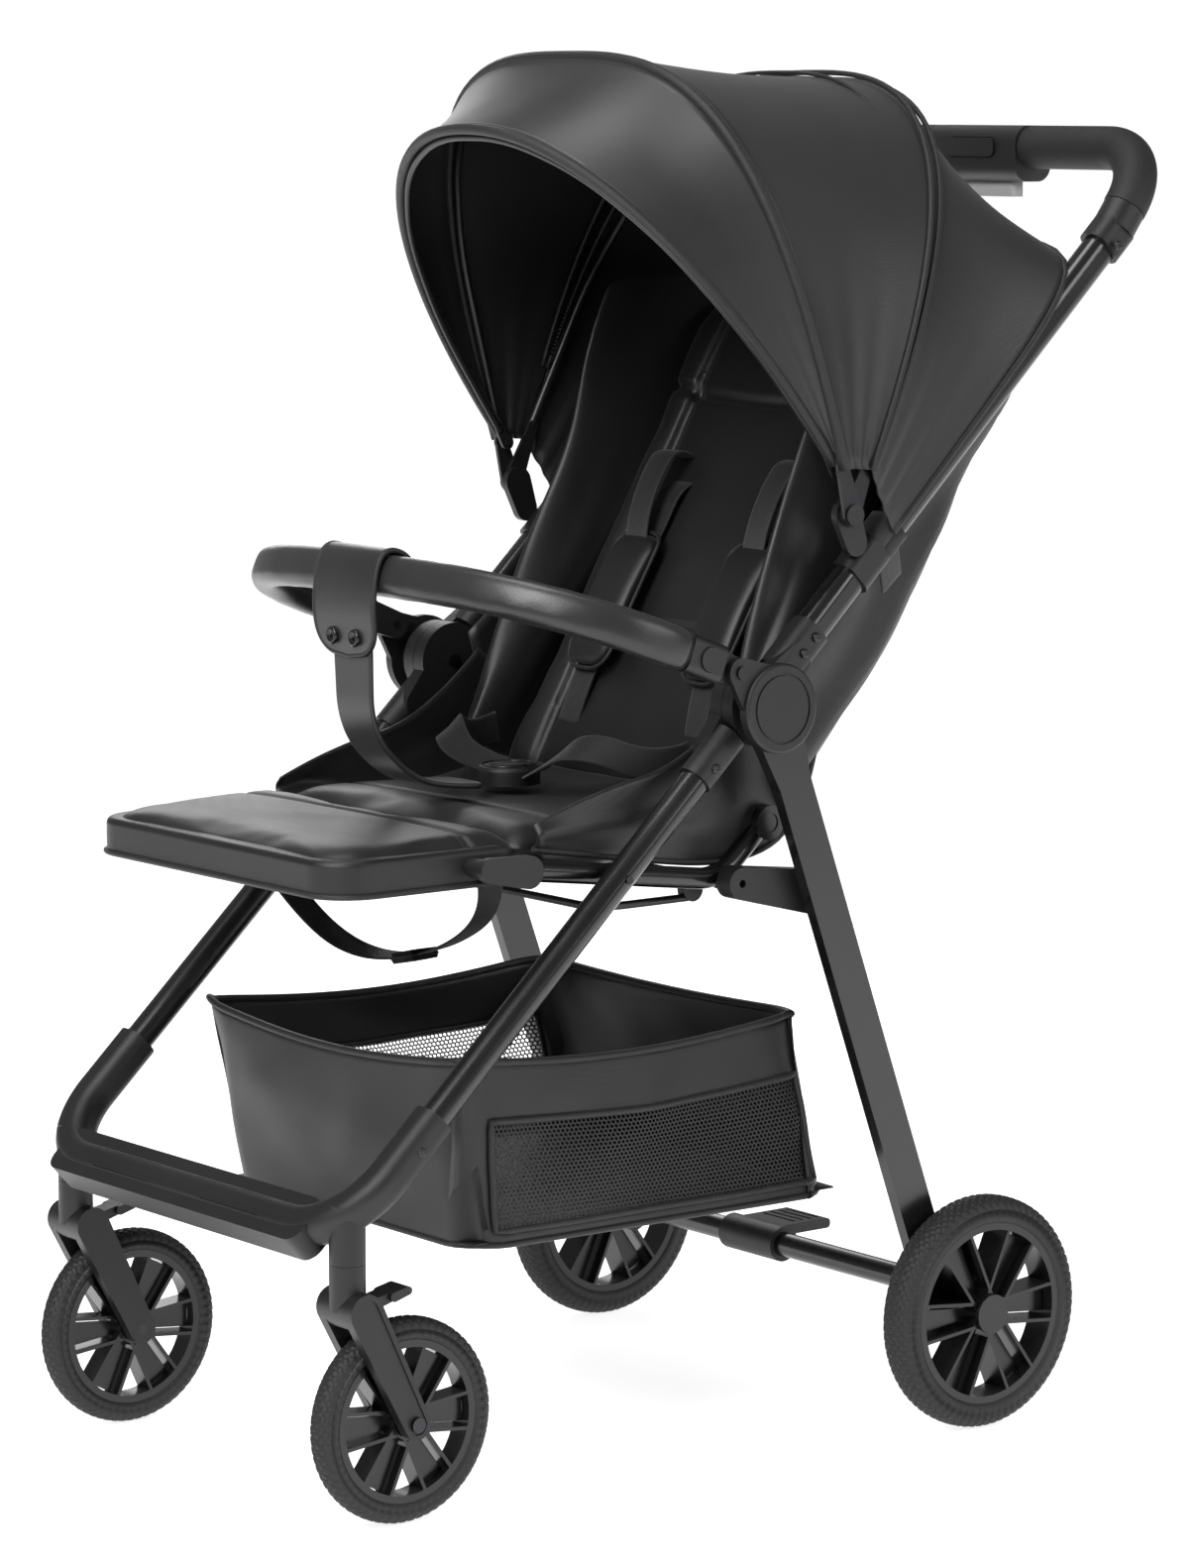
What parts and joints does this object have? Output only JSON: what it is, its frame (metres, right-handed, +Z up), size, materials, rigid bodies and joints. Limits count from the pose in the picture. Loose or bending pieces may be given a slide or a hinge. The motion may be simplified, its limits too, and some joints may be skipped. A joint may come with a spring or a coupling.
{
  "type": "baby stroller",
  "caption": "Folding baby stroller with a canopy, padded seat, bumper bar, calf rest, basket, swivelling front wheels and a one-piece handle.",
  "frame": {"origin": "centre of the bounding box on the ground", "axes": "+Z up, +X to the seated child's left, -Y the way the stroller rolls forward"},
  "size_m": [0.496, 0.8094, 1.0341],
  "materials": {
    "black_tube": "satin black powder coat",
    "black_plastic": "fine matt black",
    "wheel_plastic": "satin black",
    "tyre": "matt black foam rubber",
    "foam": "matt black foam",
    "grey_lever": "light grey",
    "bright_steel": "plated",
    "canopy_cloth": "smooth coated black cloth",
    "basket_cloth": "black cloth and mesh",
    "webbing": "woven black webbing",
    "seat_cloth": "smooth coated black cloth",
    "leatherette": "smooth black leatherette"
  },
  "bodies": {
    "front_frame": {"front_tube_left": "black_tube", "front_tube_right": "black_tube", "lower_hub_left": "black_plastic", "lower_hub_right": "black_plastic", "foot_bar": "black_plastic", "hub_caps": "black_plastic", "frame_pins": "bright_steel", "basket": "basket_cloth"},
    "push_frame": {"push_tube_left": "black_tube", "push_tube_right": "black_tube", "upper_hub_left": "black_plastic", "upper_hub_right": "black_plastic", "handle_tube": "black_tube", "handle_grip": "foam", "handle_collars": "black_plastic", "release_housing": "black_plastic", "canopy_clips": "black_plastic"},
    "rear_legs": {"rear_leg_left": "black_tube", "rear_leg_right": "black_tube", "axle_brackets": "black_plastic", "rear_axle": "black_tube"},
    "seat": {"seat_frame": "black_tube", "seat_pad": "seat_cloth", "recline_wire": "bright_steel", "buckle": "black_plastic"},
    "braces": {"braces": "black_plastic"},
    "back_hinge": {"back_hinge": "black_tube"},
    "back": {"back_pad": "seat_cloth", "harness": "webbing"},
    "calf_rest": {"calf_rest": "seat_cloth"},
    "canopy_rear": {"rear_bow": "bright_steel", "canopy_rear_panel": "canopy_cloth"},
    "canopy_mid": {"mid_bow": "bright_steel", "canopy_mid_panel": "canopy_cloth"},
    "canopy_front": {"front_bow": "bright_steel", "canopy_front_panel": "canopy_cloth"},
    "bumper": {"bumper_ends": "black_plastic", "bumper_bar": "leatherette", "bumper_flap": "leatherette", "crotch_strap": "webbing"},
    "brake": {"brake_pedal": "black_plastic"},
    "release_lever": {"release_lever": "grey_lever"},
    "safety_button": {"safety_button": "black_plastic"},
    "buckle_button": {"buckle_button": "black_plastic"},
    "bumper_button_left": {"bumper_button_left": "black_plastic"},
    "caster_left": {"caster_fork_left": "black_plastic", "front_axle_left": "bright_steel"},
    "front_wheel_left": {"front_tyre_left": "tyre", "front_rim_left": "wheel_plastic"},
    "swivel_lock_left": {"swivel_lock_left": "black_plastic"},
    "rear_wheel_left": {"rear_tyre_left": "tyre", "rear_rim_left": "wheel_plastic"},
    "bumper_button_right": {"bumper_button_right": "black_plastic"},
    "caster_right": {"caster_fork_right": "black_plastic", "front_axle_right": "bright_steel"},
    "front_wheel_right": {"front_tyre_right": "tyre", "front_rim_right": "wheel_plastic"},
    "swivel_lock_right": {"swivel_lock_right": "black_plastic"},
    "rear_wheel_right": {"rear_tyre_right": "tyre", "rear_rim_right": "wheel_plastic"}
  },
  "joints": [
    {"name": "push_fold", "type": "hinge", "parent": "front_frame", "child": "push_frame", "pos_m": [0, -0.01622, 0.56204], "axis": [1, 0, 0], "range_deg": [0, 110], "deforming": ["basket", "crotch_strap", "bumper_flap", "harness", "canopy_rear_panel", "canopy_mid_panel", "canopy_front_panel", "seat_pad"]},
    {"name": "rear_leg_fold", "type": "hinge", "parent": "front_frame", "child": "rear_legs", "pos_m": [0, -0.01622, 0.56204], "axis": [1, 0, 0], "range_deg": [-47, 0]},
    {"name": "seat_fold", "type": "hinge", "parent": "front_frame", "child": "seat", "pos_m": [0, -0.14014, 0.44567], "axis": [1, 0, 0], "range_deg": [0, 25]},
    {"name": "brace_fold", "type": "hinge", "parent": "seat", "child": "braces", "pos_m": [0, -0.03014, 0.43167], "axis": [1, 0, 0], "range_deg": [-142.35, 0]},
    {"name": "back_fold", "type": "hinge", "parent": "seat", "child": "back_hinge", "pos_m": [0, 0.01286, 0.47067], "axis": [1, 0, 0], "range_deg": [0, 91]},
    {"name": "bumper_fold", "type": "hinge", "parent": "front_frame", "child": "bumper", "pos_m": [0, -0.05134, 0.59018], "axis": [1, 0, 0], "range_deg": [0, 48.5]},
    {"name": "canopy_rear_fold", "type": "hinge", "parent": "push_frame", "child": "canopy_rear", "pos_m": [0, 0.06346, 0.69766], "axis": [1, 0, 0], "range_deg": [-22, 0]},
    {"name": "back_recline", "type": "hinge", "parent": "back_hinge", "child": "back", "pos_m": [0, 0.01286, 0.47067], "axis": [1, 0, 0], "range_deg": [-35, 0]},
    {"name": "calf_tilt", "type": "hinge", "parent": "seat", "child": "calf_rest", "pos_m": [0, -0.21414, 0.45567], "axis": [1, 0, 0], "range_deg": [0, 45]},
    {"name": "canopy_close", "type": "hinge", "parent": "canopy_rear", "child": "canopy_mid", "pos_m": [0, 0.06346, 0.69766], "axis": [1, 0, 0], "range_deg": [-25.5, 0]},
    {"name": "visor_fold", "type": "hinge", "parent": "canopy_mid", "child": "canopy_front", "pos_m": [0, 0.05392, 0.72925], "axis": [1, 0, 0], "range_deg": [-12, 0]},
    {"name": "bumper_button_left_press", "type": "slide", "parent": "bumper", "child": "bumper_button_left", "axis": [-1, 0, 0], "range_m": [0, 0.0025], "stiffness_N_per_m": 800},
    {"name": "caster_left_swivel", "type": "hinge", "parent": "front_frame", "child": "caster_left", "pos_m": [0.178, -0.3715, 0.1935], "axis": [0, 0, 1], "continuous": true},
    {"name": "front_wheel_left_spin", "type": "hinge", "parent": "caster_left", "child": "front_wheel_left", "pos_m": [0.178, -0.3265, 0.0745], "axis": [1, 0, 0], "continuous": true},
    {"name": "swivel_lock_left_press", "type": "hinge", "parent": "caster_left", "child": "swivel_lock_left", "pos_m": [0.178, -0.3505, 0.1635], "axis": [1, 0, 0], "range_deg": [-20, 0]},
    {"name": "rear_wheel_left_spin", "type": "hinge", "parent": "rear_legs", "child": "rear_wheel_left", "pos_m": [0.2315, 0.17508, 0.089], "axis": [1, 0, 0], "continuous": true},
    {"name": "bumper_button_right_press", "type": "slide", "parent": "bumper", "child": "bumper_button_right", "axis": [1, 0, 0], "range_m": [0, 0.0025], "stiffness_N_per_m": 800},
    {"name": "caster_right_swivel", "type": "hinge", "parent": "front_frame", "child": "caster_right", "pos_m": [-0.178, -0.3715, 0.1935], "axis": [0, 0, 1], "continuous": true},
    {"name": "front_wheel_right_spin", "type": "hinge", "parent": "caster_right", "child": "front_wheel_right", "pos_m": [-0.178, -0.3265, 0.0745], "axis": [1, 0, 0], "continuous": true},
    {"name": "swivel_lock_right_press", "type": "hinge", "parent": "caster_right", "child": "swivel_lock_right", "pos_m": [-0.178, -0.3505, 0.1635], "axis": [1, 0, 0], "range_deg": [-20, 0]},
    {"name": "rear_wheel_right_spin", "type": "hinge", "parent": "rear_legs", "child": "rear_wheel_right", "pos_m": [-0.2315, 0.17508, 0.089], "axis": [1, 0, 0], "continuous": true},
    {"name": "brake_press", "type": "hinge", "parent": "rear_legs", "child": "brake", "pos_m": [0, 0.14908, 0.108], "axis": [1, 0, 0], "range_deg": [-20, 0]},
    {"name": "lever_squeeze", "type": "slide", "parent": "push_frame", "child": "release_lever", "axis": [0, 0, 1], "range_m": [0, 0.006], "stiffness_N_per_m": 1500},
    {"name": "safety_press", "type": "slide", "parent": "push_frame", "child": "safety_button", "axis": [0, 1, 0], "range_m": [0, 0.0018], "stiffness_N_per_m": 800},
    {"name": "buckle_press", "type": "slide", "parent": "seat", "child": "buckle_button", "axis": [0, 0, -1], "range_m": [0, 0.002], "stiffness_N_per_m": 800}
  ],
  "couplings": [
    {"joint": "rear_leg_fold", "follows": "push_fold", "ratio": -0.42727},
    {"joint": "seat_fold", "follows": "push_fold", "ratio": 0.22727},
    {"joint": "brace_fold", "follows": "push_fold", "ratio": -1.2937},
    {"joint": "back_fold", "follows": "push_fold", "ratio": 0.82727},
    {"joint": "bumper_fold", "follows": "push_fold", "ratio": 0.44091},
    {"joint": "canopy_rear_fold", "follows": "push_fold", "ratio": -0.2},
    {"joint": "visor_fold", "follows": "canopy_close", "ratio": 0.4}
  ]
}
